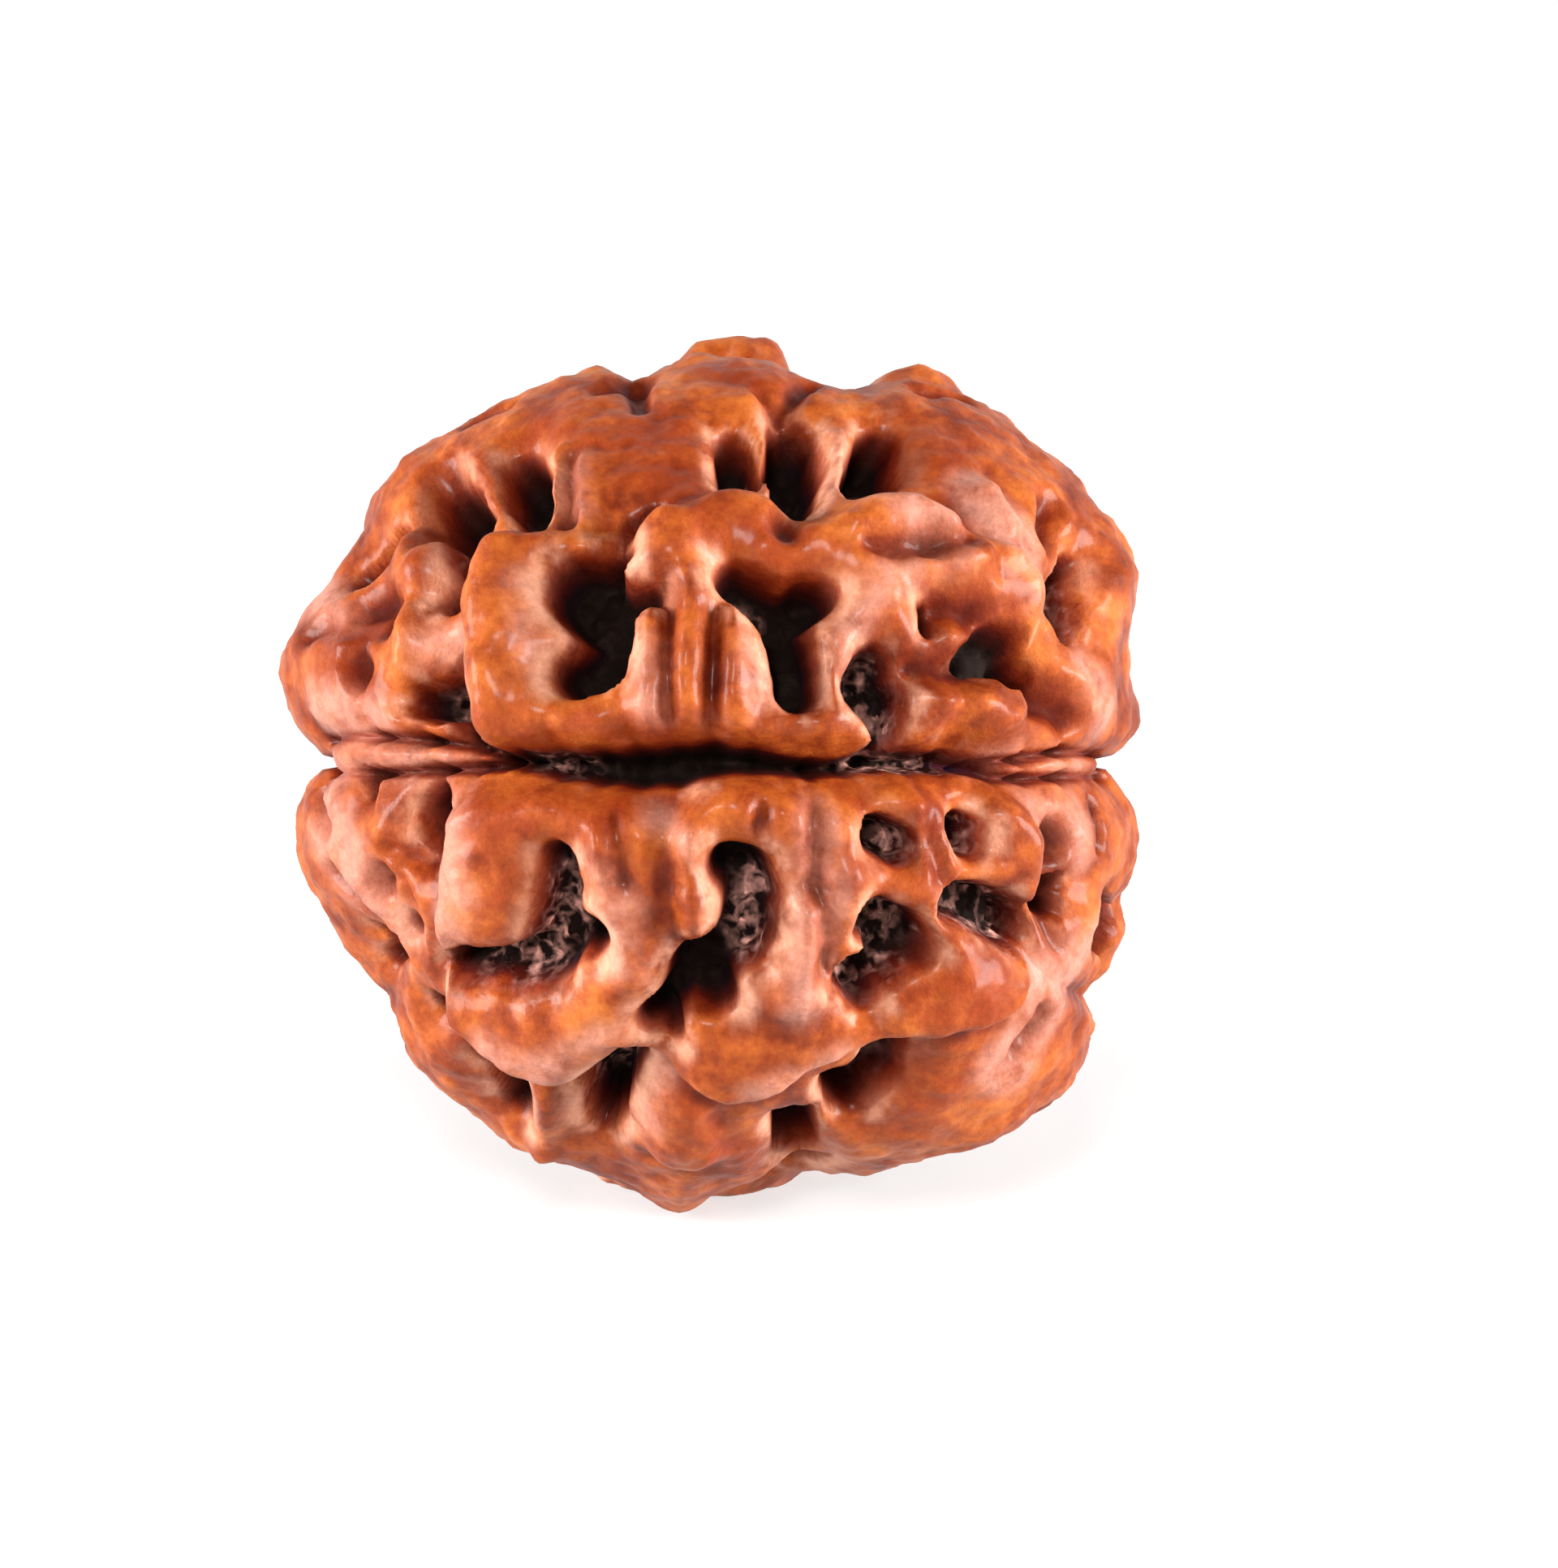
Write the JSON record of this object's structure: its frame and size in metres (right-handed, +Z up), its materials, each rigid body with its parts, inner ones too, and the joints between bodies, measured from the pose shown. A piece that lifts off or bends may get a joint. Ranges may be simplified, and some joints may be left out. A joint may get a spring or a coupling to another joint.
{
  "type": "rudraksha bead",
  "caption": "Round two-faced seed bead with netted ridges, deep pits, a straight cleft round it and a stringing hole from pole to pole.",
  "frame": {"origin": "centre of the bounding box at its base, on the worn flat that the bead rests on", "axes": "+Z up, +X along the stringing hole to the right-hand pole, -Y towards the pictured face"},
  "size_m": [0.0218, 0.0224, 0.0214],
  "materials": {
    "oiled_stone": "satin, oiled"
  },
  "bodies": {
    "root": {"rudraksha_bead": "oiled_stone"}
  },
  "joints": []
}
